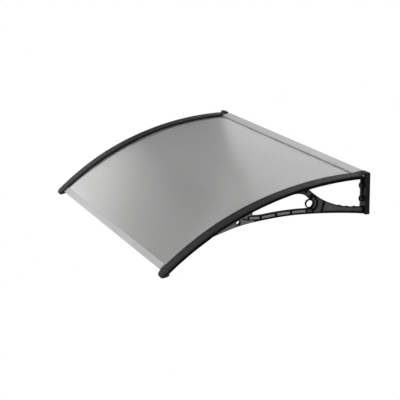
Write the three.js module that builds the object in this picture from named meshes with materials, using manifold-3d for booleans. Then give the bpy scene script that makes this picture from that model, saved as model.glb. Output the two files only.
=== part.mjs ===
// Door canopy: a curved twin-wall roof sheet held between two moulded wall brackets,
// with a cover strip on each side and a metal bar along the front and the rear edge.
// Millimetres, +Z up. The wall is the plane Y = 0 and the roof reaches out towards -Y.
// The origin is the middle of the rear bar's back face.

import * as THREE from 'three';
import { mergeVertices } from 'three/addons/utils/BufferGeometryUtils.js';
import Module from 'manifold-3d';

// Overall sizes
const WIDTH = 1200;
const DEPTH = 603;
const RAIL_RADIUS = 905;
const CREST_BEHIND_WALL = 11;
const CLEARANCE = 0.3;
const RAIL_STEPS = 20;

// Roof sheet
const SHEET_THICKNESS = 4;
const SHEET_SKIN = 0.7;
const FLUTE_PITCH = 6.8;
const FLUTE_RIB = 0.8;
const SHEET_REAR_GAP = 2;

// Cover strips
const STRIP_WIDTH = 51;
const STRIP_PLATE = 2.2;
const STRIP_HEIGHT = 3.8;
const STRIP_LIP = 3;
const STRIP_EDGE_ROUND = 1.6;
const STRIP_WING = 6;
const STRIP_BOSS_RADIUS = 4.6;

// Bracket arm, the curved ledge under the sheet's side edge
const ARM_INSET = 13;
const ARM_WALL = 2.5;
const ARM_FLOOR = 2.2;
const ARM_CHAMFER = 1.6;
const ARM_RIB = 2.5;
const ARM_RIB_DROP = 4.5;

// Bracket nose, the rounded front end of the arm
const NOSE_LENGTH = 16.5;
const NOSE_MARGIN = 1.5;
const NOSE_SHOULDER = 4.5;
const NOSE_DROP = 3;
const NOSE_SEGMENTS = 20;

// Bracket wall plate
const PLATE_WIDTH = 42;
const PLATE_THICKNESS = 12.5;
const PLATE_RISE = 8.5;
const PLATE_FOOT = 109.5;
const PLATE_CORNER = 4;
const BOLT_BOSS_RADIUS = 8.5;
const BOLT_BOSS_HEIGHT = 8;
const BOLT_HOLE_RADIUS = 4.2;
const BOLT_DROPS = [30, 67];

// Bracket head, where the rear bar is screwed on
const HEAD_DEPTH = 29;
const HEAD_RISE = 1.8;

// Bracket frame below the arm: lower strut, brace, ring and front web
const FRAME_INSET = 14;
const FRAME_WIDTH = 12;
const WEB_THICKNESS = 4;
const FLANGE = 2.6;
const STRUT_APEX = { y: -195, z: -95.6 };
const STRUT_FOOT = 108.5;
const STRUT_REACH = 459;
const STRUT_HEIGHT = 12.6;
const BRACE_FLAT = { y: -30, z: -88.5 };
const BRACE_RADIUS = 212;
const BRACE_TOP_Y = -191;
const RING = { y: -173.7, z: -69.8 };
const RING_OUTER = 12.6;
const RING_INNER = 9.7;
const RING_WIDTH = 7;
const RING_RIB = { inner: 24.5, outer: 27.5, from: -52, to: 62 };
const RING_CORNER = { reach: 50, bend: { y: -18, z: 35 } };
const OPENING_TIP_Y = -341;
const OPENING_TIP_ROUND = 5;
const CROSS_RIBS = [-353, -317, -272.5, -228.5, -182];
const CROSS_RIB_WIDTH = 2.6;
const JUNCTION_RIB_Y = -136;
const EYE = { y: -382, drop: 6, radius: 4.2, wall: 2.6, width: 6 };
const WEB_POCKET_FRONT = -428;
const SCALLOP_RADIUS = 3.4;
const SCALLOPS = [-61, -37];

// Front bar, in the rail's own frame: along the rail and up from its top line
const FRONT_BAR_LENGTH = 20;
const FRONT_BAR_WALL = 1.5;
const FRONT_BAR_ROUND = 2;
const FRONT_BAR_FOOT = 3;
const FRONT_BAR_GRIP = 12;
const PORT_RADIUS = 1.8;

// Rear bar
const REAR_BAR_DEPTH = 28;
const REAR_BAR_RISE = 5.5;
const REAR_BAR_LIP_RISE = -0.6;
const REAR_BAR_WALL = 1.6;
const REAR_BAR_FOOT = 20;
const REAR_BAR_LEDGE = 24;
const REAR_PORT = { y: -16, z: -1.4 };
const REAR_PORT_WALL = 1;
const SEAL_DEPTH = 4.4;
const SEAL_PROUD = 0.8;

// Screws
const BAR_SCREW_LENGTH = 45;
const CLAMP_SCREW_LENGTH = 9;
const CLAMP_SCREW_MARGIN = 11;
const CLAMP_SCREWS_PER_SIDE = 5;
const CLAMP_SCREW_END_MARGIN = 45;
const SCREW_RADIUS = 1.5;
const SCREW_HOLE_RADIUS = 2.1;
const SCREW_HEAD_RADIUS = 3.5;
const SCREW_HEAD_HEIGHT = 2.4;
const SCREW_POINT = 3;
const SCREW_SEGMENTS = 8;
const HEAD_POCKET_RADIUS = SCREW_HEAD_RADIUS + 2 * CLEARANCE;

// Levels above the rail's top line
const PLATE_UNDER = -STRIP_PLATE;
const ARM_TOP = PLATE_UNDER - CLEARANCE;
const SHEET_TOP = -STRIP_HEIGHT - CLEARANCE;
const SHEET_UNDER = SHEET_TOP - SHEET_THICKNESS;
const FLOOR_TOP = SHEET_UNDER - CLEARANCE;
const FLOOR_UNDER = FLOOR_TOP - ARM_FLOOR;
const FLOOR_MIDDLE = (FLOOR_TOP + FLOOR_UNDER) / 2;
const NOSE_UNDER = FLOOR_UNDER - NOSE_DROP;

// Places along the rail, as lengths of its top line from the wall
const ORIGIN_DROP = (REAR_BAR_FOOT - REAR_BAR_RISE) / 2;
const TIP = lengthAtDepth(DEPTH);
const BAR_OUTER = TIP - NOSE_LENGTH;
const BAR_INNER = BAR_OUTER - FRONT_BAR_LENGTH;
const SHEET_FRONT = BAR_INNER + FRONT_BAR_GRIP;
const SHEET_REAR = lengthAtDepth(PLATE_THICKNESS + SHEET_REAR_GAP);
const STRIP_REAR = lengthAtDepth(HEAD_DEPTH + CLEARANCE);
const FRONT_PORT = {
  s: (SHEET_FRONT + CLEARANCE + BAR_OUTER) / 2,
  v: (ARM_TOP + FLOOR_TOP - FRONT_BAR_WALL) / 2,
};

// Insets from the roof's outer side
const SHEET_INSET = ARM_INSET + ARM_WALL + 3 * CLEARANCE;
const BAR_INSET = STRIP_WIDTH + CLEARANCE;
const CLAMP_SCREW_INSET = STRIP_WIDTH - CLAMP_SCREW_MARGIN;

const wasm = await Module();
wasm.setup();

// Rail geometry

function railAngle(s) {
  return Math.asin(CREST_BEHIND_WALL / RAIL_RADIUS) + s / RAIL_RADIUS;
}

function lengthAtDepth(depth) {
  const rise = Math.asin((depth + CREST_BEHIND_WALL) / RAIL_RADIUS);
  return (rise - Math.asin(CREST_BEHIND_WALL / RAIL_RADIUS)) * RAIL_RADIUS;
}

function railPoint(s, v) {
  const angle = railAngle(s);
  const y = CREST_BEHIND_WALL - (RAIL_RADIUS + v) * Math.sin(angle);
  const z = (RAIL_RADIUS + v) * Math.cos(angle) - RAIL_RADIUS;
  return new THREE.Vector2(y, z);
}

function railHeight(y, v) {
  const reach = CREST_BEHIND_WALL - y;
  return Math.sqrt((RAIL_RADIUS + v) ** 2 - reach ** 2) - RAIL_RADIUS;
}

function fromSide(inset) {
  return WIDTH / 2 - inset;
}

// Solids and meshes

function solid(geometry) {
  const bare = geometry.clone();
  bare.deleteAttribute('normal');
  bare.deleteAttribute('uv');
  const merged = mergeVertices(bare);
  const corners = merged.index.array;
  const kept = [];
  for (let i = 0; i < corners.length; i += 3) {
    const [a, b, c] = [corners[i], corners[i + 1], corners[i + 2]];
    if (a !== b && b !== c && c !== a) {
      kept.push(a, b, c);
    }
  }
  const mesh = new wasm.Mesh({
    numProp: 3,
    vertProperties: new Float32Array(merged.attributes.position.array),
    triVerts: new Uint32Array(kept),
  });
  return new wasm.Manifold(mesh);
}

function geometryOf(body) {
  const mesh = body.getMesh();
  const geometry = new THREE.BufferGeometry();
  geometry.setAttribute('position', new THREE.BufferAttribute(mesh.vertProperties, 3));
  geometry.setIndex(new THREE.BufferAttribute(mesh.triVerts, 1));
  geometry.computeVertexNormals();
  return geometry;
}

function mirrored(geometry) {
  const copy = geometry.clone();
  const position = copy.attributes.position;
  for (let i = 0; i < position.count; i += 1) {
    position.setX(i, -position.getX(i));
  }
  const index = copy.index;
  for (let i = 0; i < index.count; i += 3) {
    const first = index.getX(i);
    index.setX(i, index.getX(i + 1));
    index.setX(i + 1, first);
  }
  copy.computeVertexNormals();
  return copy;
}

function joined(first, ...others) {
  return others.reduce((body, other) => body.add(other), first);
}

function cut(first, ...others) {
  return others.reduce((body, other) => body.subtract(other), first);
}

// A side outline in (Y, Z), extruded from one X to another
function sideGeometry(shape, x0, x1) {
  const geometry = new THREE.ExtrudeGeometry(shape, {
    depth: x1 - x0,
    bevelEnabled: false,
    curveSegments: 8,
  });
  const turn = new THREE.Matrix4().makeBasis(
    new THREE.Vector3(0, 1, 0),
    new THREE.Vector3(0, 0, 1),
    new THREE.Vector3(1, 0, 0),
  );
  return geometry.applyMatrix4(turn).translate(x0, 0, 0);
}

function sideSlab(points, insetOuter, insetInner) {
  const shape = points instanceof THREE.Shape ? points : new THREE.Shape(points);
  return solid(sideGeometry(shape, fromSide(insetInner), fromSide(insetOuter)));
}

// A cross-section in (X, level), swept along the rail
function railSweep(shape, s0, s1) {
  const geometry = new THREE.ExtrudeGeometry(shape, {
    depth: s1 - s0,
    steps: Math.max(1, Math.round((RAIL_STEPS * (s1 - s0)) / TIP)),
    bevelEnabled: false,
    curveSegments: 3,
  });
  const position = geometry.attributes.position;
  for (let i = 0; i < position.count; i += 1) {
    const point = railPoint(s0 + position.getZ(i), position.getY(i));
    position.setXYZ(i, position.getX(i), point.x, point.y);
  }
  return solid(geometry);
}

function rectangle(insetOuter, insetInner, low, high) {
  return new THREE.Shape([
    new THREE.Vector2(fromSide(insetInner), low),
    new THREE.Vector2(fromSide(insetOuter), low),
    new THREE.Vector2(fromSide(insetOuter), high),
    new THREE.Vector2(fromSide(insetInner), high),
  ]);
}

function railBlock(insetOuter, insetInner, low, high, s0, s1) {
  return railSweep(rectangle(insetOuter, insetInner, low, high), s0, s1);
}

// A bar parallel to the X axis
function roundBar(y, z, radius, insetOuter, insetInner) {
  const length = insetInner - insetOuter;
  const geometry = new THREE.CylinderGeometry(radius, radius, length, 16);
  geometry.rotateZ(Math.PI / 2);
  geometry.translate(fromSide((insetOuter + insetInner) / 2), y, z);
  return solid(geometry);
}

// A pin square to the rail, from one level to another
function radialPin(s, inset, radius, low, high) {
  const geometry = new THREE.CylinderGeometry(radius, radius, high - low, 8);
  geometry.rotateX(Math.PI / 2 + railAngle(s));
  const centre = railPoint(s, (low + high) / 2);
  return solid(geometry.translate(fromSide(inset), centre.x, centre.y));
}

function arc(centre, radius, from, to, count) {
  const points = [];
  for (let i = 0; i <= count; i += 1) {
    const angle = THREE.MathUtils.degToRad(from + ((to - from) * i) / count);
    points.push(new THREE.Vector2(
      centre.y + radius * Math.cos(angle),
      centre.z + radius * Math.sin(angle),
    ));
  }
  return points;
}

function along(curve, from, to, count) {
  const points = [];
  for (let i = 0; i <= count; i += 1) {
    const y = from + ((to - from) * i) / count;
    points.push(new THREE.Vector2(y, curve(y)));
  }
  return points;
}

// Outlines of the bracket's frame

function arcDrop(distance, radius) {
  return radius - Math.sqrt(radius ** 2 - distance ** 2);
}

function radiusThrough(distance, drop) {
  return (distance ** 2 + drop ** 2) / (2 * drop);
}

function armUnder(y) {
  return railHeight(y, FLOOR_UNDER);
}

function strutUnder(y) {
  const toFront = y < STRUT_APEX.y;
  const endY = toFront ? -STRUT_REACH : 0;
  const endZ = toFront ? armUnder(-STRUT_REACH) : -STRUT_FOOT;
  const radius = radiusThrough(endY - STRUT_APEX.y, STRUT_APEX.z - endZ);
  return STRUT_APEX.z - arcDrop(y - STRUT_APEX.y, radius);
}

function strutUpper(y) {
  return strutUnder(y) + STRUT_HEIGHT;
}

function braceUpper(y) {
  const beyond = Math.min(0, y - BRACE_FLAT.y);
  return BRACE_FLAT.z + arcDrop(beyond, BRACE_RADIUS);
}

function frameOutline() {
  return [
    ...along(strutUnder, -STRUT_REACH, STRUT_APEX.y, 12),
    ...along(strutUnder, STRUT_APEX.y, -PLATE_THICKNESS / 2, 6).slice(1),
    ...along((y) => railHeight(y, FLOOR_MIDDLE), -PLATE_THICKNESS / 2, -STRUT_REACH, 24),
  ];
}

function rearOpening() {
  return [
    new THREE.Vector2(-PLATE_THICKNESS, BRACE_FLAT.z),
    new THREE.Vector2(-PLATE_THICKNESS, PLATE_RISE),
    new THREE.Vector2(BRACE_TOP_Y, PLATE_RISE),
    ...along(braceUpper, BRACE_TOP_Y, BRACE_FLAT.y, 12),
  ];
}

function frontOpening() {
  const armLine = (y) => railHeight(y, FLOOR_MIDDLE);
  const tip = { y: OPENING_TIP_Y + OPENING_TIP_ROUND, z: strutUpper(OPENING_TIP_Y) + OPENING_TIP_ROUND };
  const cornerY = RING.y - RING_CORNER.reach;
  const corner = new THREE.QuadraticBezierCurve(
    new THREE.Vector2(cornerY, armLine(cornerY)),
    new THREE.Vector2(RING.y + RING_CORNER.bend.y, RING.z + RING_CORNER.bend.z),
    new THREE.Vector2(RING.y, RING.z + RING_OUTER),
  );
  return [
    ...arc(tip, OPENING_TIP_ROUND, 270, 180, 4),
    new THREE.Vector2(OPENING_TIP_Y, armLine(OPENING_TIP_Y)),
    ...along(armLine, tip.y, cornerY, 6),
    ...corner.getPoints(8).slice(1),
    ...arc(RING, RING_OUTER, 100, 235, 8),
    ...along(strutUpper, RING.y - RING_OUTER, tip.y, 8).slice(0, -1),
  ];
}

function strutPockets() {
  const pockets = [];
  for (let i = 0; i + 1 < CROSS_RIBS.length; i += 1) {
    const front = CROSS_RIBS[i] + CROSS_RIB_WIDTH / 2;
    const rear = CROSS_RIBS[i + 1] - CROSS_RIB_WIDTH / 2;
    pockets.push([
      ...along((y) => strutUnder(y) + FLANGE, front, rear, 3),
      ...along((y) => strutUpper(y) - FLANGE, rear, front, 3),
    ]);
  }
  return pockets;
}

function beamPocket() {
  const front = JUNCTION_RIB_Y + CROSS_RIB_WIDTH / 2;
  const rear = -PLATE_THICKNESS - FLANGE;
  return [
    ...along((y) => strutUnder(y) + FLANGE, front, rear, 4),
    ...along((y) => braceUpper(y) - FLANGE, rear, front, 8),
  ];
}

function junctionPocket() {
  const rear = JUNCTION_RIB_Y - CROSS_RIB_WIDTH / 2;
  const rib = arc(RING, RING_RIB.outer, RING_RIB.from, RING_RIB.to / 2, 6);
  const last = rib[rib.length - 1];
  return [
    ...rib,
    ...along((y) => braceUpper(y) - FLANGE, last.x + CROSS_RIB_WIDTH, rear, 2),
    ...along((y) => strutUnder(y) + FLANGE, rear, rib[0].x + CROSS_RIB_WIDTH, 2),
  ];
}

function ringPocket() {
  return [
    ...arc(RING, RING_OUTER + FLANGE, RING_RIB.to, RING_RIB.from, 8),
    ...arc(RING, RING_RIB.inner, RING_RIB.from, RING_RIB.to, 8),
  ];
}

// The thin web in front of the opening, around the eye
function webPocket() {
  const rear = CROSS_RIBS[0] - CROSS_RIB_WIDTH / 2;
  return [
    ...along((y) => strutUnder(y) + FLANGE, WEB_POCKET_FRONT, rear, 5),
    ...along((y) => railHeight(y, FLOOR_MIDDLE), rear, WEB_POCKET_FRONT, 5),
  ];
}

function frame() {
  const outer = FRAME_INSET;
  const inner = FRAME_INSET + FRAME_WIDTH;
  const recess = (FRAME_WIDTH - WEB_THICKNESS) / 2;
  const middle = (outer + inner) / 2;
  const eyeOuter = middle - EYE.width / 2;
  const eyeInner = middle + EYE.width / 2;
  const eyeZ = armUnder(EYE.y) - EYE.drop;
  let body = sideSlab(frameOutline(), outer, inner);
  for (const outline of [rearOpening(), frontOpening()]) {
    body = cut(body, sideSlab(outline, outer - 1, inner + 1));
  }
  const pockets = [...strutPockets(), beamPocket(), junctionPocket(), ringPocket(), webPocket()];
  for (const outline of pockets) {
    body = cut(
      body,
      sideSlab(outline, outer - 1, outer + recess),
      sideSlab(outline, inner - recess, inner + 1),
    );
  }
  body = joined(
    body,
    roundBar(RING.y, RING.z, RING_OUTER, outer, outer + RING_WIDTH),
    roundBar(EYE.y, eyeZ, EYE.radius + EYE.wall, eyeOuter, eyeInner),
  );
  for (const y of SCALLOPS) {
    body = joined(body, roundBar(y, braceUpper(y), SCALLOP_RADIUS, outer, inner));
  }
  return cut(
    body,
    roundBar(RING.y, RING.z, RING_INNER, outer - 1, inner + 1),
    roundBar(EYE.y, eyeZ, EYE.radius, outer - 1, inner + 1),
  );
}

// Bracket

function roundedPanel(left, right, low, high, radius) {
  const shape = new THREE.Shape();
  shape.moveTo(left + radius, low);
  shape.lineTo(right - radius, low);
  shape.absarc(right - radius, low + radius, radius, -Math.PI / 2, 0, false);
  shape.lineTo(right, high - radius);
  shape.absarc(right - radius, high - radius, radius, 0, Math.PI / 2, false);
  shape.lineTo(left + radius, high);
  shape.absarc(left + radius, high - radius, radius, Math.PI / 2, Math.PI, false);
  shape.lineTo(left, low + radius);
  shape.absarc(left + radius, low + radius, radius, Math.PI, Math.PI * 1.5, false);
  return shape;
}

// A round bar parallel to Y, from the wall side outwards
function wallPin(inset, z, radius, from, to) {
  const geometry = new THREE.CylinderGeometry(radius, radius, to - from, 20);
  return solid(geometry.translate(fromSide(inset), -(from + to) / 2, z));
}

function wallPlate() {
  const panel = roundedPanel(fromSide(PLATE_WIDTH), fromSide(0), -PLATE_FOOT, PLATE_RISE, PLATE_CORNER);
  const geometry = new THREE.ExtrudeGeometry(panel, {
    depth: PLATE_THICKNESS,
    bevelEnabled: false,
    curveSegments: 4,
  });
  let body = solid(geometry.rotateX(Math.PI / 2));
  const middle = PLATE_WIDTH / 2;
  for (const drop of BOLT_DROPS) {
    const reach = PLATE_THICKNESS + BOLT_BOSS_HEIGHT;
    body = joined(body, wallPin(middle, -drop, BOLT_BOSS_RADIUS, PLATE_THICKNESS / 2, reach));
  }
  for (const drop of BOLT_DROPS) {
    const reach = PLATE_THICKNESS + BOLT_BOSS_HEIGHT + 1;
    body = cut(body, wallPin(middle, -drop, BOLT_HOLE_RADIUS, -1, reach));
  }
  return body;
}

function armSection() {
  return new THREE.Shape([
    new THREE.Vector2(fromSide(ARM_INSET), ARM_TOP),
    new THREE.Vector2(fromSide(ARM_INSET + ARM_WALL), ARM_TOP),
    new THREE.Vector2(fromSide(ARM_INSET + ARM_WALL), FLOOR_TOP),
    new THREE.Vector2(fromSide(STRIP_WIDTH), FLOOR_TOP),
    new THREE.Vector2(fromSide(STRIP_WIDTH), FLOOR_UNDER - ARM_RIB_DROP),
    new THREE.Vector2(fromSide(STRIP_WIDTH - ARM_RIB), FLOOR_UNDER - ARM_RIB_DROP),
    new THREE.Vector2(fromSide(STRIP_WIDTH - ARM_RIB), FLOOR_UNDER),
    new THREE.Vector2(fromSide(ARM_INSET + ARM_CHAMFER), FLOOR_UNDER),
    new THREE.Vector2(fromSide(ARM_INSET), FLOOR_UNDER + ARM_CHAMFER),
  ]);
}

function bracketHead() {
  const rear = -PLATE_THICKNESS + 1;
  const outline = (low) => [
    new THREE.Vector2(rear, low),
    new THREE.Vector2(-HEAD_DEPTH, low),
    new THREE.Vector2(-HEAD_DEPTH, HEAD_RISE),
    new THREE.Vector2(rear, HEAD_RISE),
  ];
  const body = sideSlab(outline(FLOOR_TOP), ARM_INSET, STRIP_WIDTH);
  const roof = sideSlab(outline(HEAD_RISE - STRIP_PLATE), 0, STRIP_WIDTH);
  const slotRear = SHEET_REAR - CLEARANCE;
  const slotFront = STRIP_REAR + CLEARANCE;
  const slot = railBlock(
    ARM_INSET + ARM_WALL, STRIP_WIDTH + 1, FLOOR_TOP, SHEET_TOP + CLEARANCE, slotRear, slotFront,
  );
  return cut(joined(body, roof), slot);
}

// A half-round end: a turned profile, stretched to the nose's length, in front of the front bar
function noseEnd(profile) {
  const geometry = new THREE.LatheGeometry(profile, NOSE_SEGMENTS);
  geometry.rotateX(Math.PI / 2);
  geometry.scale(1, NOSE_LENGTH / (STRIP_WIDTH / 2), 1);
  const angle = railAngle(BAR_OUTER);
  const base = railPoint(BAR_OUTER, 0);
  geometry.rotateX(angle);
  geometry.translate(fromSide(STRIP_WIDTH / 2), base.x, base.y);
  const behind = railBlock(-1, STRIP_WIDTH + 1, -40, 10, BAR_OUTER - STRIP_WIDTH, BAR_OUTER - 0.5);
  return cut(solid(geometry), behind);
}

function noseSection() {
  return new THREE.Shape([
    new THREE.Vector2(fromSide(NOSE_MARGIN), ARM_TOP),
    new THREE.Vector2(fromSide(STRIP_WIDTH), ARM_TOP),
    new THREE.Vector2(fromSide(STRIP_WIDTH), NOSE_UNDER),
    new THREE.Vector2(fromSide(ARM_INSET), NOSE_UNDER),
    new THREE.Vector2(fromSide(NOSE_MARGIN), ARM_TOP - NOSE_SHOULDER),
  ]);
}

function nose() {
  const radius = STRIP_WIDTH / 2 - NOSE_MARGIN;
  const end = noseEnd([
    new THREE.Vector2(0, FLOOR_UNDER),
    new THREE.Vector2(STRIP_WIDTH / 2 - ARM_INSET, FLOOR_UNDER),
    new THREE.Vector2(radius, ARM_TOP - NOSE_SHOULDER),
    new THREE.Vector2(radius, ARM_TOP),
    new THREE.Vector2(0, ARM_TOP),
  ]);
  return joined(end, railSweep(noseSection(), SHEET_FRONT + 2 * CLEARANCE, BAR_OUTER));
}

function clampPlaces() {
  const first = STRIP_REAR + CLAMP_SCREW_END_MARGIN;
  const last = BAR_INNER - CLAMP_SCREW_END_MARGIN;
  const places = [];
  for (let i = 0; i < CLAMP_SCREWS_PER_SIDE; i += 1) {
    places.push(first + ((last - first) * i) / (CLAMP_SCREWS_PER_SIDE - 1));
  }
  return places;
}

function bracketBody() {
  const arm = railSweep(armSection(), lengthAtDepth(PLATE_THICKNESS - 1), BAR_OUTER);
  const front = railPoint(FRONT_PORT.s, FRONT_PORT.v);
  let body = joined(wallPlate(), frame(), arm, bracketHead(), nose());
  body = cut(
    body,
    roundBar(REAR_PORT.y, REAR_PORT.z, SCREW_HOLE_RADIUS, -1, STRIP_WIDTH + 1),
    roundBar(front.x, front.y, SCREW_HOLE_RADIUS, -1, STRIP_WIDTH + 1),
    roundBar(REAR_PORT.y, REAR_PORT.z, HEAD_POCKET_RADIUS, -1, ARM_INSET),
    roundBar(front.x, front.y, HEAD_POCKET_RADIUS, -1, ARM_INSET),
  );
  for (const s of clampPlaces()) {
    body = cut(body, radialPin(s, CLAMP_SCREW_INSET, SCREW_HOLE_RADIUS, FLOOR_UNDER - 1, FLOOR_TOP + 1));
  }
  return body;
}

// Cover strip

function stripSection() {
  const round = STRIP_EDGE_ROUND;
  const rib = ARM_INSET + ARM_WALL + STRIP_LIP;
  const shape = new THREE.Shape();
  shape.moveTo(fromSide(0), PLATE_UNDER);
  shape.lineTo(fromSide(0), -round);
  shape.absarc(fromSide(round), -round, round, 0, Math.PI / 2, false);
  shape.lineTo(fromSide(STRIP_WIDTH - round), 0);
  shape.absarc(fromSide(STRIP_WIDTH - round), -round, round, Math.PI / 2, Math.PI, false);
  shape.lineTo(fromSide(STRIP_WIDTH), -STRIP_HEIGHT);
  shape.lineTo(fromSide(STRIP_WIDTH - STRIP_LIP), -STRIP_HEIGHT);
  shape.lineTo(fromSide(STRIP_WIDTH - STRIP_LIP), PLATE_UNDER);
  shape.lineTo(fromSide(rib + STRIP_LIP), PLATE_UNDER);
  shape.lineTo(fromSide(rib + STRIP_LIP), -STRIP_HEIGHT);
  shape.lineTo(fromSide(rib), -STRIP_HEIGHT);
  shape.lineTo(fromSide(rib), PLATE_UNDER);
  return shape;
}

function stripBody() {
  const radius = STRIP_WIDTH / 2;
  const round = STRIP_EDGE_ROUND;
  const lipsEnd = SHEET_FRONT;
  const plate = rectangle(0, STRIP_WIDTH, PLATE_UNDER, -round);
  let body = railSweep(stripSection(), STRIP_REAR, lipsEnd);
  const end = noseEnd([
    new THREE.Vector2(0, PLATE_UNDER),
    new THREE.Vector2(radius, PLATE_UNDER),
    new THREE.Vector2(radius, -round),
    new THREE.Vector2(radius - round * 0.3, -round * 0.3),
    new THREE.Vector2(radius - round, 0),
    new THREE.Vector2(0, 0),
  ]);
  const topPlate = railBlock(round, STRIP_WIDTH - round, PLATE_UNDER, 0, lipsEnd - 1, BAR_OUTER);
  const wing = railBlock(
    STRIP_WIDTH - 2 * round, STRIP_WIDTH + STRIP_WING, PLATE_UNDER, 0, BAR_INNER - 1, BAR_OUTER,
  );
  body = joined(body, railSweep(plate, lipsEnd - 1, BAR_OUTER), topPlate, end, wing);
  const places = clampPlaces();
  for (const s of places) {
    body = joined(body, radialPin(s, CLAMP_SCREW_INSET, STRIP_BOSS_RADIUS, -STRIP_HEIGHT, PLATE_UNDER + 1));
  }
  for (const s of places) {
    const holeTop = FLOOR_UNDER + CLAMP_SCREW_LENGTH + CLEARANCE;
    const holeRadius = SCREW_RADIUS + CLEARANCE;
    body = cut(body, radialPin(s, CLAMP_SCREW_INSET, holeRadius, -STRIP_HEIGHT - 1, holeTop));
  }
  return body;
}

// Roof sheet: two skins joined by ribs, with the flutes running across the roof

function sheetBody() {
  const count = Math.round((SHEET_FRONT - SHEET_REAR) / FLUTE_PITCH);
  const pitch = (SHEET_FRONT - SHEET_REAR) / count;
  const top = [];
  const under = [];
  for (let i = 0; i <= count; i += 1) {
    top.push(railPoint(SHEET_REAR + pitch * i, SHEET_TOP));
    under.push(railPoint(SHEET_REAR + pitch * i, SHEET_UNDER));
  }
  const section = new THREE.Shape([...top, ...under.reverse()]);
  for (let i = 0; i < count; i += 1) {
    const rear = SHEET_REAR + pitch * i + FLUTE_RIB / 2;
    const front = SHEET_REAR + pitch * (i + 1) - FLUTE_RIB / 2;
    section.holes.push(new THREE.Path([
      railPoint(rear, SHEET_UNDER + SHEET_SKIN),
      railPoint(front, SHEET_UNDER + SHEET_SKIN),
      railPoint(front, SHEET_TOP - SHEET_SKIN),
      railPoint(rear, SHEET_TOP - SHEET_SKIN),
    ]));
  }
  let body = solid(sideGeometry(section, -fromSide(SHEET_INSET), fromSide(SHEET_INSET)));
  for (const s of clampPlaces()) {
    for (const inset of [CLAMP_SCREW_INSET, WIDTH - CLAMP_SCREW_INSET]) {
      const hole = radialPin(s, inset, SCREW_HOLE_RADIUS, SHEET_UNDER - 1, SHEET_TOP + 1);
      body = cut(body, hole);
    }
  }
  return body;
}

// Bars and seal

function circlePath(y, z, radius) {
  return new THREE.Path(new THREE.Path().absarc(y, z, radius, 0, Math.PI * 2, true).getPoints(4));
}

function frontBarGeometry() {
  const wall = FRONT_BAR_WALL;
  const round = FRONT_BAR_ROUND;
  const low = FLOOR_TOP - wall;
  const port = SHEET_FRONT + CLEARANCE;
  const outline = [
    [BAR_INNER, ARM_TOP],
    [BAR_OUTER - round, ARM_TOP],
    [BAR_OUTER - round * 0.3, ARM_TOP - round * 0.3],
    [BAR_OUTER, ARM_TOP - round],
    [BAR_OUTER, low + round],
    [BAR_OUTER - round * 0.3, low + round * 0.3],
    [BAR_OUTER - round, low],
    [BAR_INNER + FRONT_BAR_FOOT, low],
    [BAR_INNER + FRONT_BAR_FOOT, FLOOR_TOP],
    [port, FLOOR_TOP],
    [port, ARM_TOP - wall],
    [BAR_INNER + wall, ARM_TOP - wall],
    [BAR_INNER + wall, SHEET_TOP + CLEARANCE],
    [BAR_INNER, SHEET_TOP + CLEARANCE],
  ];
  const shape = new THREE.Shape(outline.map(([s, v]) => railPoint(s, v)));
  const centre = railPoint(FRONT_PORT.s, FRONT_PORT.v);
  shape.holes.push(circlePath(centre.x, centre.y, PORT_RADIUS));
  return sideGeometry(shape, -fromSide(BAR_INSET), fromSide(BAR_INSET));
}

function rearFlangeTop(y) {
  return REAR_BAR_RISE + (y * (REAR_BAR_RISE - REAR_BAR_LIP_RISE)) / REAR_BAR_DEPTH;
}

function rearBarGeometry() {
  const wall = REAR_BAR_WALL;
  const portFront = REAR_PORT.y - PORT_RADIUS - REAR_PORT_WALL;
  const portRear = REAR_PORT.y + PORT_RADIUS + REAR_PORT_WALL;
  const portUnder = REAR_PORT.z - PORT_RADIUS - REAR_PORT_WALL;
  const ledge = railHeight(-REAR_BAR_LEDGE, SHEET_UNDER) - CLEARANCE;
  const shape = new THREE.Shape([
    new THREE.Vector2(0, REAR_BAR_RISE),
    new THREE.Vector2(-REAR_BAR_DEPTH, rearFlangeTop(-REAR_BAR_DEPTH)),
    new THREE.Vector2(-REAR_BAR_DEPTH, rearFlangeTop(-REAR_BAR_DEPTH) - wall),
    new THREE.Vector2(portFront, rearFlangeTop(portFront) - wall),
    new THREE.Vector2(portFront, portUnder),
    new THREE.Vector2(portRear, portUnder),
    new THREE.Vector2(portRear, rearFlangeTop(portRear) - wall),
    new THREE.Vector2(-wall, rearFlangeTop(-wall) - wall),
    new THREE.Vector2(-wall, ledge),
    new THREE.Vector2(-REAR_BAR_LEDGE, ledge),
    new THREE.Vector2(-REAR_BAR_LEDGE, ledge - wall),
    new THREE.Vector2(-wall, ledge - wall),
    new THREE.Vector2(-wall, -REAR_BAR_FOOT),
    new THREE.Vector2(0, -REAR_BAR_FOOT),
  ]);
  shape.holes.push(circlePath(REAR_PORT.y, REAR_PORT.z, PORT_RADIUS));
  return sideGeometry(shape, -fromSide(BAR_INSET), fromSide(BAR_INSET));
}

function sealGeometry() {
  const front = -REAR_BAR_DEPTH - SEAL_PROUD;
  const rear = front + SEAL_DEPTH;
  const top = (y) => rearFlangeTop(y) - REAR_BAR_WALL - CLEARANCE;
  const under = (y) => railHeight(y, SHEET_TOP) + CLEARANCE;
  const shape = new THREE.Shape([
    new THREE.Vector2(front, under(front)),
    new THREE.Vector2(rear, under(rear)),
    new THREE.Vector2(rear, top(rear)),
    new THREE.Vector2(front, top(front)),
  ]);
  return sideGeometry(shape, -fromSide(BAR_INSET), fromSide(BAR_INSET));
}

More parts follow.
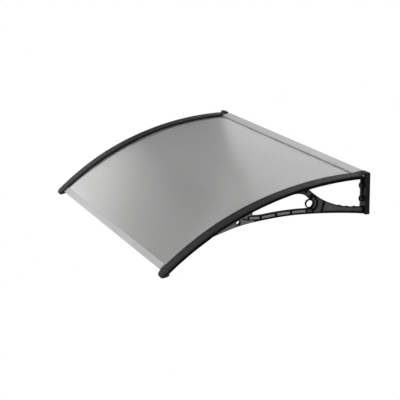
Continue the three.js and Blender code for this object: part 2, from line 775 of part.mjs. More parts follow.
// A self-tapping screw with its head's seat at the origin and its point up the Y axis
function screwGeometry(length) {
  const head = SCREW_HEAD_RADIUS;
  return new THREE.LatheGeometry([
    new THREE.Vector2(0, -SCREW_HEAD_HEIGHT),
    new THREE.Vector2(head * 0.6, -SCREW_HEAD_HEIGHT),
    new THREE.Vector2(head, -SCREW_HEAD_HEIGHT * 0.4),
    new THREE.Vector2(head, 0),
    new THREE.Vector2(SCREW_RADIUS, 0),
    new THREE.Vector2(SCREW_RADIUS, length - SCREW_POINT),
    new THREE.Vector2(0, length),
  ], SCREW_SEGMENTS);
}

// Materials
const blackPlastic = new THREE.MeshStandardMaterial({ color: 0x1c1c1e, roughness: 0.5, metalness: 0 });
const smokedSheet = new THREE.MeshStandardMaterial({ color: 0x9b9d9b, roughness: 0.25, metalness: 0 });
const brushedAluminium = new THREE.MeshStandardMaterial({ color: 0xb9bbc1, roughness: 0.38, metalness: 0.9 });
const blackRubber = new THREE.MeshStandardMaterial({ color: 0x151515, roughness: 0.8, metalness: 0 });
const zincSteel = new THREE.MeshStandardMaterial({ color: 0xc4c6c8, roughness: 0.35, metalness: 1 });

// Assembly
const canopy = new THREE.Group();
canopy.name = 'door_canopy';
canopy.position.z = ORIGIN_DROP;

function addPiece(name, geometry, material) {
  const mesh = new THREE.Mesh(geometry, material);
  mesh.name = name;
  canopy.add(mesh);
  return mesh;
}

function addPair(name, geometry, material) {
  addPiece(`${name}_right`, geometry, material);
  addPiece(`${name}_left`, mirrored(geometry), material);
}

// Screws along X, one into each end of a bar
function addBarScrews(name, y, z) {
  const seat = fromSide(ARM_INSET - CLEARANCE);
  for (const [side, sign] of [['right', 1], ['left', -1]]) {
    const screw = addPiece(`${name}_${side}`, screwGeometry(BAR_SCREW_LENGTH), zincSteel);
    screw.position.set(sign * seat, y, z);
    screw.rotation.z = (sign * Math.PI) / 2;
  }
}

// Screws from below, through the arm and the sheet into the cover strip
function addClampScrews() {
  clampPlaces().forEach((s, i) => {
    const seat = railPoint(s, FLOOR_UNDER - CLEARANCE);
    for (const [side, sign] of [['right', 1], ['left', -1]]) {
      const screw = addPiece(`clamp_screw_${side}_${i + 1}`, screwGeometry(CLAMP_SCREW_LENGTH), zincSteel);
      screw.position.set(sign * fromSide(CLAMP_SCREW_INSET), seat.x, seat.y);
      screw.rotation.x = Math.PI / 2 + railAngle(s);
    }
  });
}

addPair('bracket', geometryOf(bracketBody()), blackPlastic);
addPair('cover_strip', geometryOf(stripBody()), blackPlastic);
addPiece('roof_sheet', geometryOf(sheetBody()), smokedSheet);
addPiece('front_bar', frontBarGeometry(), brushedAluminium);
addPiece('rear_bar', rearBarGeometry(), brushedAluminium);
addPiece('sheet_seal', sealGeometry(), blackRubber);
const frontPort = railPoint(FRONT_PORT.s, FRONT_PORT.v);
addBarScrews('front_bar_screw', frontPort.x, frontPort.y);
addBarScrews('rear_bar_screw', REAR_PORT.y, REAR_PORT.z);
addClampScrews();

export default canopy;
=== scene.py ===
"""Looks of a door canopy: smoked fluted roof sheet, black moulded brackets and strips, metal bars.

Shapes are worked out in millimetres, in the rail's own terms: an inset u from the roof's outer side,
a length s along the rail's top line from the wall, and a level v above that line.
"""

import math

import bmesh
import bpy
from mathutils import Matrix, Vector


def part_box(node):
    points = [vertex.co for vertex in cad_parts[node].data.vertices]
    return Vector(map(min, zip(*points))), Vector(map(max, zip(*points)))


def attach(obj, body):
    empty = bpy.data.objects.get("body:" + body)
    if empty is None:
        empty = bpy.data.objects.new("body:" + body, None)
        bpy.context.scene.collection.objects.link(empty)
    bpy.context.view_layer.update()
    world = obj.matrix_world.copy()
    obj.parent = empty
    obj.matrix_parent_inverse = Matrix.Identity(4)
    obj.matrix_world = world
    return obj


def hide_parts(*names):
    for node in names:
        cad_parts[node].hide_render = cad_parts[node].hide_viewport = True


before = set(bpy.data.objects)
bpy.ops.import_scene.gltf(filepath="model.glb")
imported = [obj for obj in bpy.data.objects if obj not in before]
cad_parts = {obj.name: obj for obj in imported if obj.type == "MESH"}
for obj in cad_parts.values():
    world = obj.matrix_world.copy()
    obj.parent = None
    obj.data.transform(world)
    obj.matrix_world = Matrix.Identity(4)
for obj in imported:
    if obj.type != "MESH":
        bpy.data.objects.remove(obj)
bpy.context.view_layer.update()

MM = 0.001
BODY = "root"

# Sizes read from the frame, in millimetres
HALF_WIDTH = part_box("bracket_right")[1].x / MM
STRIP_WIDTH = HALF_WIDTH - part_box("bracket_right")[0].x / MM
BAR_HALF_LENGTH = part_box("front_bar")[1].x / MM
SHEET_HALF_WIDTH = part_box("roof_sheet")[1].x / MM

# The rail's curve
RAIL_RADIUS = 905
CREST_BEHIND_WALL = 11
DEPTH = 603
ORIGIN_DROP = 7.25
CLEARANCE = 0.3
LAP = 0.1

# Levels above the rail's top line
STRIP_PLATE = 2.2
STRIP_HEIGHT = 3.8
SHEET_THICKNESS = 4
ARM_FLOOR = 2.2
ARM_TOP = -STRIP_PLATE - CLEARANCE
SHEET_TOP = -STRIP_HEIGHT - CLEARANCE
SHEET_UNDER = SHEET_TOP - SHEET_THICKNESS
FLOOR_TOP = SHEET_UNDER - CLEARANCE
FLOOR_UNDER = FLOOR_TOP - ARM_FLOOR
FRAME_TOP = FLOOR_TOP - LAP
OPENING_TOP = FLOOR_UNDER + LAP

# Cover strips
STRIP_LIP = 3
STRIP_EDGE_ROUND = 1.6
STRIP_SHOULDER = 3
STRIP_RISE = 2.3
STRIP_TAPER = 240
STRIP_WING = 6
STRIP_WING_LAP = 3
STRIP_GROOVES = (11, 38)
STRIP_GROOVE_WIDTH = 2.4
STRIP_GROOVE_DEPTH = 0.6
STRIP_STATIONS = 72

# Bracket arm and nose
ARM_INSET = 13
ARM_WALL = 2.5
ARM_CHAMFER = 1.6
ARM_RIB = 2.5
ARM_RIB_DROP = 1
ARM_FLOOR_MARGIN = 6
ARM_PLATE_LAP = 1
ARM_SKIRT = 2
ARM_SKIRT_FROM = 440
ARM_SKIRT_TO = 475
NOSE_LENGTH = 16.5
NOSE_MARGIN = 1.5
NOSE_SHOULDER = 4.5
NOSE_DROP = 3
NOSE_FOOT = 6
NOSE_FOOT_START = 1
NOSE_RISE = 0.8
NOSE_STATIONS = 12
NOSE_LAST_ANGLE = math.radians(87)

# Wall plate and head
PLATE_WIDTH = 42
PLATE_THICKNESS = 12.5
PLATE_RISE = 8.5
PLATE_FOOT = 109.5
PLATE_CORNER = 4
PLATE_EDGE = 1.1
BOLT_BOSS_RADIUS = 8.5
BOLT_BOSS_HEIGHT = 9.5
BOLT_HOLE_RADIUS = 4.2
BOLT_DROPS = (30, 67)
HEAD_DEPTH = 29
HEAD_RISE = 5.6
HEAD_POCKET_RADIUS = 4.1
HEAD_EDGE = 0.7
HEAD_PLATE_LAP = 2

# Frame below the arm
FRAME_INSET = 14
FRAME_WIDTH = 12
WEB_THICKNESS = 4
RIB_EDGE = 0.4
WEB_EDGE = 0.3
WEB_LAP = 1
FLANGE = 2.6
STRUT_APEX = (-195, -98)
STRUT_FOOT = 110
STRUT_REACH = 459
STRUT_HEIGHT = 15
STRUT_SOLE = 4.4
STRUT_FLANGE = 3.2
STRUT_LIFT = 5.5
STRUT_CROWN = 1.8
STRUT_CROWN_FROM = -285
BRACE_FLAT = (-30, -88.5)
BRACE_RADIUS = 212
RING = (-173.7, -69.8)
RING_OUTER = 12.6
RING_INNER = 9.7
RING_WIDTH = 7
RING_LAP = 1
RING_PROUD = 0.3
RING_GAP = 0.8
RING_RIB_INNER = 21
RING_RIB_OUTER = 25.5
RING_RIB_FROM = -54
RING_RIB_TO = 62
RING_CORNER_REACH = 50
RING_CORNER_BEND = (-18, 35)
OPENING_PLATE_LAP = 0.5
OPENING_TIP_Y = -341
OPENING_TIP_ROUND = 5
CROSS_RIBS = (-353, -317, -272.5, -228.5, -182, -163)
CROSS_RIB_WIDTH = 4
JUNCTION_RIB = (-137.5, -129.5)
JUNCTION_RIB_WIDTH = 5
JUNCTION_FROM = -66
JUNCTION_TO = 40
JUNCTION_SOLE = 1.8
BEAM_SOLE = 5
BRACE_FLANGE = 1.1
NECK_REACH = 8
NECK_RIBS = (((-184.3, -30), (-183.3, -39.5)), ((-170.5, -45.4), (-165.9, -54.1)))
NECK_RIB_WIDTH = 5.5
EYE_Y = -381.5
EYE_DROP = 7
EYE_RADIUS = 5.3
EYE_WALL = 1.6
EYE_PROUD = 0.6
WEB_FRONT = -452
WEB_TAIL = -336
WEB_PROUD = 0.2
WEB_RIB = ((-369, -98.6), (-355.5, -101.2), (-350.5, -97))
WEB_RIB_WIDTH = 3.4
PANEL_PROUD = 0.6
PANEL_GAP = 4
PANEL_LAP = 0.5
SCALLOPS = (-80, -58.5, -37)
SCALLOP_RADIUS = 12
SCALLOP_RISE = 1.6
SCALLOP_END = -92

# Bars and seal
FRONT_BAR_LENGTH = 20
FRONT_BAR_WALL = 1.5
FRONT_BAR_ROUND = 2
FRONT_BAR_FOOT = 3
FRONT_BAR_GRIP = 12
FRONT_BAR_EDGE = 0.15
PORT_RADIUS = 1.8
REAR_BAR_DEPTH = 24
REAR_BAR_RISE = 6.3
REAR_BAR_LIP_RISE = -0.2
REAR_BAR_WALL = 1.6
REAR_LIP_DROP = 2.2
REAR_BAR_FOOT = 20
REAR_BAR_LEDGE = 22
REAR_PORT = (-16, -1.4)
REAR_PORT_WALL = 1
SEAL_DEPTH = 4.4
SEAL_PROUD = 0.8
SEAL_EDGE = 0.05
BAR_EDGE = 0.3

# Roof sheet
SHEET_REAR_DEPTH = 14.5
SHEET_SKIN = 0.7
FLUTE_PITCH = 6.8
FLUTE_RIB = 0.8
FLUTE_ROUND = 0.4
RIPPLE = 0.1
RIPPLE_STEPS = 8

# Screws
BAR_SCREW_LENGTH = 45
CLAMP_SCREW_LENGTH = 9
CLAMP_SCREW_MARGIN = 11
CLAMP_SCREW_INSET = STRIP_WIDTH - CLAMP_SCREW_MARGIN
CLAMP_SCREWS_PER_SIDE = 5
CLAMP_SCREW_END_MARGIN = 45
SCREW_RADIUS = 1.5
SCREW_CORE_RADIUS = 1.1
SCREW_PITCH = 1.3
SCREW_POINT = 3
SCREW_HEAD_RADIUS = 3.5
SCREW_HEAD_HEIGHT = 2.4
SCREW_HEAD_EDGE = 0.315
SCREW_HEAD_RIM = 0.3
SCREW_SHANK_LAP = 0.2
SCREW_TIP_RADIUS = 0.2
SCREW_TIP_LENGTH = 0.2
SCREW_CROSS_REACH = 1.9
SCREW_CROSS_HALF = 0.45
SCREW_CROSS_DEPTH = 1.4

# Camera, in metres and in the photograph's frame of 400 by 400 pixels
CAMERA_PLACE = Vector((4.35058, -1.76346, 0.82185))
CAMERA_LOOK = Vector((-0.92625, 0.31323, -0.20963))
CAMERA_FOCAL_PIXELS = 1526.03
PHOTO_PIXELS = 400
SENSOR_WIDTH = 36
CAMERA_FAR_CLIP = 500

FLOOR_LEVEL = -2.2
FLOOR_HALF_SIZE = 120

# Studio card in the plane X = CARD_X: flat fields, each a brightness and an outline in (Y, Z) in metres,
# and a bright field at its front that fades smoothly from one edge line up to another
CARD_X = -4
CARD_DARK = 0.22
CARD_UPPER = 0.46
CARD_REAR = 0.75
CARD_REAR_SEAM = ((1.15, 0.4), (1.12, 0.75), (0.97, 1.05), (0.78, 1.3), (0.65, 1.5))
CARD_UPPER_REAR = ((0.65, 1.5), (0.55, 1.65), (0.3, 1.85), (0.1, 2.2), (0.1, 40))
CARD_UPPER_SEAM = ((-30, 1.74), (-0.1, 1.72), (0.1, 1.66), (0.35, 1.56))
GLOW_BRIGHT = 1.7
GLOW_DARK = 0.02
GLOW_FOOT = 0.2
GLOW_FULL_EDGE = ((-30, 0.6), (-1.4, 0.6), (-0.75, 0.6), (-0.1, 0.25))
GLOW_DARK_EDGE = ((-30, 1.3), (-1.4, 1.3), (-0.75, 1.6), (-0.1, 1.6))
GLOW_ROWS = 12
CARD_FIELDS = (
    (CARD_DARK, (*CARD_REAR_SEAM, *reversed(CARD_UPPER_SEAM[1:]), (-0.1, 0.4))),
    (CARD_UPPER, (*CARD_UPPER_SEAM, *CARD_UPPER_REAR, (-30, 40))),
    (CARD_REAR, (*CARD_REAR_SEAM, *CARD_UPPER_REAR[1:], (30, 40), (30, 0.4))),
)

SHEET_TINT = (0.785, 0.782, 0.775)
SHEET_RIB_TINT = (0.34, 0.34, 0.33)

# Places of the bracket's plastics in its list of materials: 0 is the plain black plastic, and the others are
# darker or lighter copies of it that carry painted shade, painted light and painted sheen
# the black plastic painted darker: painted shade
SMOOTH_PAINTED_SHADE = 1
# the black plastic painted light grey, with a coarse grain: painted sheen
GRAINED_PAINTED_SHEEN = 2
# the black plastic painted mid-grey: painted half light
PAINTED_HALF_LIGHT = 3
# the black plastic painted grey: painted light on the solid web
WEB_PAINTED_LIGHT = 4

SMOOTH_ANGLE = math.radians(40)
EDGE_STEPS = 2
WELD_DISTANCE = 0.002


# Rail geometry

def rail_angle(s):
    return math.asin(CREST_BEHIND_WALL / RAIL_RADIUS) + s / RAIL_RADIUS


def length_at_depth(depth):
    reach = math.asin((depth + CREST_BEHIND_WALL) / RAIL_RADIUS)
    return (reach - math.asin(CREST_BEHIND_WALL / RAIL_RADIUS)) * RAIL_RADIUS


def rail_point(s, v):
    angle = rail_angle(s)
    y = CREST_BEHIND_WALL - (RAIL_RADIUS + v) * math.sin(angle)
    z = (RAIL_RADIUS + v) * math.cos(angle) - RAIL_RADIUS
    return y, z


def rail_height(y, v):
    reach = CREST_BEHIND_WALL - y
    return math.sqrt((RAIL_RADIUS + v) ** 2 - reach ** 2) - RAIL_RADIUS


def place(u, s, v):
    y, z = rail_point(s, v)
    return Vector((HALF_WIDTH - u, y, z))


TIP = length_at_depth(DEPTH)
BAR_OUTER = TIP - NOSE_LENGTH
BAR_INNER = BAR_OUTER - FRONT_BAR_LENGTH
SHEET_FRONT = BAR_INNER + FRONT_BAR_GRIP
SHEET_REAR = length_at_depth(SHEET_REAR_DEPTH)
FLUTES = round((SHEET_FRONT - SHEET_REAR) / FLUTE_PITCH)
FLUTE_STEP = (SHEET_FRONT - SHEET_REAR) / FLUTES
STRIP_REAR = length_at_depth(HEAD_DEPTH + CLEARANCE)
FRONT_PORT_S = (SHEET_FRONT + CLEARANCE + BAR_OUTER) / 2
FRONT_PORT_V = (ARM_TOP + FLOOR_TOP - FRONT_BAR_WALL) / 2


# Shapes

class Shape:
    """Vertices in millimetres, and faces that each carry the number of their material."""

    def __init__(self, verts=(), faces=(), material=0):
        self.verts = [Vector(v) for v in verts]
        self.faces = [(tuple(face), material) for face in faces]

    def add(self, *others):
        for other in others:
            start = len(self.verts)
            self.verts += other.verts
            self.faces += [(tuple(i + start for i in face), m) for face, m in other.faces]
        return self

    def moved(self, matrix):
        copy = Shape([matrix @ v for v in self.verts])
        copy.faces = list(self.faces)
        return copy

    def mirrored(self):
        return self.moved(Matrix.Scale(-1, 4, Vector((1, 0, 0))))

    def painted(self, material, test):
        """Gives the faces whose corners all pass a test another material."""
        for number, (face, _) in enumerate(self.faces):
            if all(test(self.verts[i]) for i in face):
                self.faces[number] = (face, material)
        return self


def loft(rings, material=0):
    """A closed body through rings of equally many points, with flat ends."""
    count = len(rings[0])
    verts = [point for ring in rings for point in ring]
    faces = []
    for r in range(len(rings) - 1):
        for i in range(count):
            j = (i + 1) % count
            faces.append((r * count + i, r * count + j, (r + 1) * count + j, (r + 1) * count + i))
    faces.append(tuple(range(count)))
    faces.append(tuple(range(len(verts) - count, len(verts))))
    return Shape(verts, faces, material)


def spread(low, high, count):
    return [low + (high - low) * i / count for i in range(count + 1)]


def sweep(section, s0, s1, count, material=0):
    """A section in (u, v), carried along the rail."""
    rings = [[place(u, s, v) for u, v in section] for s in spread(s0, s1, count)]
    return loft(rings, material)


def slab(loops, low, high, edge, to_frame, material=0, inset=0):
    """Flat outlines with holes, given depth along a third axis and rounded along every edge.

    With an inset the outline shrinks and its holes grow by that much.
    """
    curve = bpy.data.curves.new("outline", "CURVE")
    curve.dimensions = "2D"
    curve.fill_mode = "BOTH"
    for loop in loops:
        spline = curve.splines.new("POLY")
        spline.points.add(len(loop) - 1)
        for point, (a, b) in zip(spline.points, loop):
            point.co = (a, b, 0, 1)
        spline.use_cyclic_u = True
    curve.extrude = (high - low) / 2 - edge
    curve.bevel_depth = edge
    curve.bevel_resolution = EDGE_STEPS if edge else 0
    curve.offset = -edge - inset
    carrier = bpy.data.objects.new("outline", curve)
    bpy.context.scene.collection.objects.link(carrier)
    graph = bpy.context.evaluated_depsgraph_get()
    mesh = bpy.data.meshes.new_from_object(carrier.evaluated_get(graph))
    centred = Matrix.Translation((0, 0, (low + high) / 2))
    verts = [to_frame @ centred @ v.co for v in mesh.vertices]
    shape = Shape(verts, [tuple(p.vertices) for p in mesh.polygons], material)
    bpy.data.objects.remove(carrier)
    bpy.data.curves.remove(curve)
    bpy.data.meshes.remove(mesh)
    return shape


# How the flat outlines lie in the frame: (Y, Z) outlines go across the roof, (X, Z) ones out from the wall
ACROSS = Matrix(((0, 0, 1, 0), (1, 0, 0, 0), (0, 1, 0, 0), (0, 0, 0, 1)))
OUTWARD = Matrix(((1, 0, 0, 0), (0, 0, -1, 0), (0, 1, 0, 0), (0, 0, 0, 1)))


def side_slab(loops, outer, inner, edge, material=0, inset=0):
    return slab(loops, HALF_WIDTH - inner, HALF_WIDTH - outer, edge, ACROSS, material, inset)


def circle(centre, radius, count=32):
    return arc(centre, radius, 0, 360 - 360 / count, count - 1)


def arc(centre, radius, start, end, count):
    points = []
    for degrees in spread(start, end, count):
        angle = math.radians(degrees)
        points.append((centre[0] + radius * math.cos(angle), centre[1] + radius * math.sin(angle)))
    return points


def along(curve, start, end, count):
    return [(y, curve(y)) for y in spread(start, end, count)]


def bezier(start, bend, end, count):
    """A smooth bend from one point to another, drawn towards a third."""
    return [tuple(start * (1 - t) ** 2 + bend * 2 * t * (1 - t) + end * t ** 2) for t in spread(0, 1, count)]


def rounded_rectangle(left, right, low, high, radius, count=6):
    return (
        arc((right - radius, low + radius), radius, -90, 0, count)
        + arc((right - radius, high - radius), radius, 0, 90, count)
        + arc((left + radius, high - radius), radius, 90, 180, count)
        + arc((left + radius, low + radius), radius, 180, 270, count)
    )


def lathe(profile, count=20):
    """A profile of (radius, height) that starts and ends on the Z axis, turned about it."""
    rings = []
    for radius, height in profile[1:-1]:
        rings.append([(radius * math.cos(2 * math.pi * i / count),
                       radius * math.sin(2 * math.pi * i / count), height) for i in range(count)])
    verts = [point for ring in rings for point in ring]
    faces = []
    for r in range(len(rings) - 1):
        for i in range(count):
            j = (i + 1) % count
            faces.append((r * count + i, r * count + j, (r + 1) * count + j, (r + 1) * count + i))
    for (radius, height), first in ((profile[0], 0), (profile[-1], len(verts) - count)):
        verts.append((0, 0, height))
        tip = len(verts) - 1
        faces += [(first + i, first + (i + 1) % count, tip) for i in range(count)]
    return Shape(verts, faces)


def make_piece(name, shape, materials, slot, *nodes):
    """A mesh object from a shape, in the frame's metres, standing for the CAD nodes that it names."""
    to_metres = Matrix.Scale(MM, 4) @ Matrix.Translation((0, 0, ORIGIN_DROP))
    mesh = bpy.data.meshes.new(name)
    body = bmesh.new()
    points = [body.verts.new(to_metres @ v) for v in shape.verts]
    for corners, material in shape.faces:
        face = body.faces.new([points[i] for i in corners])
        face.material_index = material
        face.smooth = len(corners) == 4
    bmesh.ops.remove_doubles(body, verts=body.verts, dist=WELD_DISTANCE * MM)
    bmesh.ops.recalc_face_normals(body, faces=body.faces)
    body.to_mesh(mesh)
    body.free()
    mesh.set_sharp_from_angle(angle=SMOOTH_ANGLE)
    for material in materials:
        mesh.materials.append(material)
    piece = bpy.data.objects.new(name, mesh)
    bpy.context.scene.collection.objects.link(piece)
    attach(piece, BODY)
    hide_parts(*nodes)


# Materials

class Nodes:
    """A short way to add nodes to a material and join them up."""

    def __init__(self, name):
        self.material = bpy.data.materials.new(name)
        self.material.use_nodes = True
        self.tree = self.material.node_tree
        self.shader = self.tree.nodes["Principled BSDF"]
        self.place = self.tree.nodes.new("ShaderNodeTexCoord").outputs["Object"]

    def node(self, kind, **sockets):
        made = self.tree.nodes.new("ShaderNode" + kind)
        for name, value in sockets.items():
            self.put(made.inputs[name.replace("_", " ")], value)
        return made

    def put(self, socket, value):
        if isinstance(value, bpy.types.NodeSocket):
            self.tree.links.new(value, socket)
        else:
            socket.default_value = value

    def set(self, **sockets):
        for name, value in sockets.items():
            self.put(self.shader.inputs[name.replace("_", " ")], value)

    def math(self, operation, first, second):
        made = self.tree.nodes.new("ShaderNodeMath")
        made.operation = operation
        self.put(made.inputs[0], first)
        self.put(made.inputs[1], second)
        return made.outputs[0]

    def stretched(self, scale):
        return self.node("Mapping", Vector=self.place, Scale=scale).outputs["Vector"]

    def noise(self, scale, detail, vector=None):
        made = self.node("TexNoise", Vector=vector or self.place, Scale=scale, Detail=detail)
        return made.outputs["Fac"]

    def between(self, factor, low, high, start=0.3, end=0.7):
        made = self.node("MapRange", Value=factor)
        for socket, value in zip(made.inputs[1:5], (start, end, low, high)):
            socket.default_value = value
        return made.outputs["Result"]

    def colours(self, factor, first, last):
        ramp = self.node("ValToRGB", Fac=factor)
        elements = ramp.color_ramp.elements
        for element, (position, colour) in zip(elements, (first, last)):
            element.position = position
            element.color = (*colour, 1)
        return ramp.outputs["Color"]

    def bump(self, height, strength, distance):
        made = self.node("Bump", Height=height, Strength=strength, Distance=distance)
        return made.outputs["Normal"]


def moulded_plastic(name, dark, light, roughness, grain, gloss=0.1):
    """Black plastic with a fine moulded grain and faint flow clouds; given lighter or darker colours it also
    makes the copies that carry painted light and painted shade.
    """
    n = Nodes(name)
    clouds = n.noise(22, 4)
    fine = n.noise(1400, 2)
    n.set(
        Base_Color=n.colours(clouds, (0.3, dark), (0.7, light)),
        Roughness=n.between(n.noise(60, 4), roughness - 0.06, roughness + 0.06),
        Normal=n.bump(fine, grain, 0.0003),
        IOR=1.45,
        Specular_IOR_Level=gloss,
    )
    return n.material


def extruded_aluminium():
    """Satin metal with fine lines along its length."""
    n = Nodes("extruded_aluminium")
    lines = n.noise(1.0, 3, vector=n.stretched((1.5, 900, 900)))
    cloud = n.noise(6, 3)
    n.set(
        Base_Color=n.colours(cloud, (0.3, (0.42, 0.422, 0.44)), (0.7, (0.465, 0.467, 0.48))),
        Metallic=0.35,
        Roughness=n.between(lines, 0.38, 0.52),
        Normal=n.bump(lines, 0.12, 0.0002),
    )
    return n.material


def black_rubber():
    n = Nodes("black_rubber")
    clouds = n.noise(300, 3)
    n.set(
        Base_Color=n.colours(clouds, (0.3, (0.045, 0.045, 0.045)), (0.7, (0.065, 0.065, 0.065))),
        Roughness=0.75,
        Normal=n.bump(n.noise(2500, 2), 0.2, 0.0002),
    )
    return n.material


def zinc_steel():
    n = Nodes("zinc_steel")
    clouds = n.noise(500, 3)
    n.set(
        Base_Color=n.colours(clouds, (0.3, (0.5, 0.51, 0.52)), (0.7, (0.62, 0.62, 0.61))),
        Metallic=1.0,
        Roughness=n.between(n.noise(900, 3), 0.22, 0.4),
        Normal=n.bump(n.noise(1500, 2), 0.08, 0.0002),
    )
    return n.material


def smoked_sheet():
    """Clear smoked plastic, slightly hazy, darker along the ribs between its flutes."""
    n = Nodes("smoked_sheet")
    axis = n.node("SeparateXYZ", Vector=n.place)
    across = n.math("ADD", n.math("MULTIPLY", axis.outputs["Y"], -1), CREST_BEHIND_WALL * MM)
    up = n.math("ADD", axis.outputs["Z"], (RAIL_RADIUS - ORIGIN_DROP) * MM)
    turns = RAIL_RADIUS / FLUTE_STEP
    first = rail_angle(SHEET_REAR) * turns
    flute = n.math("ADD", n.math("MULTIPLY", n.math("ARCTAN2", across, up), turns), -first)
    from_rib = n.math("PINGPONG", flute, 0.5)
    haze = n.noise(9, 4)
    tint = n.colours(from_rib, (0.08, SHEET_RIB_TINT), (0.16, SHEET_TINT))
    n.set(
        Base_Color=tint,
        Roughness=n.between(haze, 0.285, 0.33),
        IOR=1.5,
        Transmission_Weight=0.92,
        Coat_Weight=1.0,
        Coat_Roughness=0.09,
        Coat_IOR=1.5,
    )
    return n.material


bracket_plastics = [
    moulded_plastic("black_plastic", (0.007, 0.007, 0.008), (0.011, 0.011, 0.012), 0.4, 0.3),
    # a darker copy of the black plastic, with less grain and gloss: painted shade for recesses and faces
    # under overhangs
    moulded_plastic("black_plastic_smooth_painted_shade", (0.002, 0.002, 0.002), (0.004, 0.004, 0.004), 0.35, 0.15,
                    gloss=0.05),
    # a light grey copy of the black plastic, with a coarse grain: painted sheen for the strut's lit panels
    moulded_plastic("black_plastic_grained_painted_sheen", (0.28, 0.28, 0.28), (0.36, 0.36, 0.36), 0.55, 0.8),
    # a mid-grey copy of the black plastic: painted half light on the recessed web and a painted highlight on
    # the bolt bosses
    moulded_plastic("black_plastic_painted_half_light", (0.07, 0.07, 0.07), (0.1, 0.1, 0.1), 0.55, 0.8),
    # a grey copy of the black plastic: painted light on the solid web about the eye
    moulded_plastic("black_plastic_web_painted_light", (0.14, 0.14, 0.14), (0.19, 0.19, 0.19), 0.55, 0.8),
]
aluminium = extruded_aluminium()
rubber = black_rubber()
steel = zinc_steel()
smoked = smoked_sheet()


# Cover strips

def strip_rise(s):
    """How far the strip's top stands above the rail line: it thins smoothly towards the nose."""
    share = min(1, (TIP - s) / STRIP_TAPER)
    return STRIP_RISE * share ** 2 * (3 - 2 * share)


def strip_section(s):
    """The strip's section from its outer foot, over the grooved top, to the lips that press on the sheet."""
    r = STRIP_EDGE_ROUND
    rise = strip_rise(s)
    rib = ARM_INSET + ARM_WALL + STRIP_LIP
    top = []
    for u in STRIP_GROOVES:
        side = STRIP_GROOVE_WIDTH / 4
        top += [
            (u - 2 * side, rise),
            (u - side, rise - STRIP_GROOVE_DEPTH),
            (u + side, rise - STRIP_GROOVE_DEPTH),
            (u + 2 * side, rise),
        ]
    return (
        [(0, -STRIP_PLATE)]
        + [(STRIP_SHOULDER * (1 - a), rise + r * (b - 1)) for a, b in arc((0, 0), 1, 0, 90, 6)]
        + top
        + arc((STRIP_WIDTH - r, rise - r), r, 90, 0, 4)
        + [
            (STRIP_WIDTH, -STRIP_HEIGHT),
            (STRIP_WIDTH - STRIP_LIP, -STRIP_HEIGHT),
            (STRIP_WIDTH - STRIP_LIP, -STRIP_PLATE),
            (rib + STRIP_LIP, -STRIP_PLATE),
            (rib + STRIP_LIP, -STRIP_HEIGHT),
            (rib, -STRIP_HEIGHT),
            (rib, -STRIP_PLATE),
        ]
    )


def nose_stations():
    """Places along the rounded nose, each with the share of the full width that is left there."""
    return [
        (BAR_OUTER + NOSE_LENGTH * math.sin(angle), math.cos(angle))
        for angle in spread(0, NOSE_LAST_ANGLE, NOSE_STATIONS)
    ]


def narrowed(u, share):
    middle = STRIP_WIDTH / 2
    return middle + (u - middle) * share


def strip_shape():
    def plate(s):
        return [(u, max(v, -STRIP_PLATE)) for u, v in strip_section(s)]

    stations = spread(STRIP_REAR, SHEET_FRONT, STRIP_STATIONS)
    rings = [[place(u, s, v) for u, v in strip_section(s)] for s in stations]
    rings.append([place(u, SHEET_FRONT + CLEARANCE, v) for u, v in plate(SHEET_FRONT)])
    for s, share in nose_stations():
        rings.append([place(narrowed(u, share), s, v) for u, v in plate(s)])
    r = STRIP_EDGE_ROUND / 2
    wing_end = STRIP_WIDTH + STRIP_WING
    wing_start = STRIP_WIDTH - STRIP_WING_LAP
    foot = STRIP_PLATE - LAP
    wing_section = [
        (wing_start, -foot), (wing_start, -r / 2), (wing_end - r, -r / 2), (wing_end, -r), (wing_end, -foot),
    ]
    wing = sweep(wing_section, BAR_INNER, BAR_OUTER - r, 3)
    # The strip's outer side faces take the darker plastic: painted shade below the strip's top edge
    body = loft(rings).painted(SMOOTH_PAINTED_SHADE, lambda v: v.x > HALF_WIDTH - CLEARANCE)
    return body.add(wing)


# Bracket outlines in (Y, Z)

def arc_drop(distance, radius):
    return radius - math.sqrt(radius ** 2 - distance ** 2)


def radius_through(distance, drop):
    return (distance ** 2 + drop ** 2) / (2 * drop)


def strut_crown(y):
    """How far the strut's lower edge rises above a plain arc near its front end."""
    share = (STRUT_CROWN_FROM - y) / (STRUT_CROWN_FROM + STRUT_REACH)
    return STRUT_CROWN * math.sin(math.pi * min(1, max(0, share))) ** 2


def strut_under(y):
    to_front = y < STRUT_APEX[0]
    end_y = -STRUT_REACH if to_front else 0
    end_z = rail_height(-STRUT_REACH, FLOOR_UNDER) if to_front else -STRUT_FOOT
    radius = radius_through(end_y - STRUT_APEX[0], STRUT_APEX[1] - end_z)
    return STRUT_APEX[1] - arc_drop(y - STRUT_APEX[0], radius) + strut_crown(y)


def strut_lift(y):
    """How far the strut's first cell is lifted off the strut's lower edge, towards the front."""
    front, rear = CROSS_RIBS[:2]
    return STRUT_LIFT * min(1, max(0, (rear - y) / (rear - front)))


def strut_sole(y):
    return strut_under(y) + STRUT_SOLE + strut_lift(y)


def strut_upper(y):
    return strut_under(y) + STRUT_HEIGHT + strut_lift(y)


def brace_upper(y):
    return BRACE_FLAT[1] + arc_drop(min(0, y - BRACE_FLAT[0]), BRACE_RADIUS)


def brace_edge(y):
    """The brace's upper edge with the low round bumps near the wall plate."""
    bumps = [math.sqrt(max(0, SCALLOP_RADIUS ** 2 - (y - middle) ** 2)) for middle in SCALLOPS]
    return brace_upper(y) + max(0, max(bumps) - SCALLOP_RADIUS + SCALLOP_RISE)


def arm_line(y):
    """The hidden top edge of the frame's openings, just inside the arm's floor."""
    return rail_height(y, OPENING_TOP)


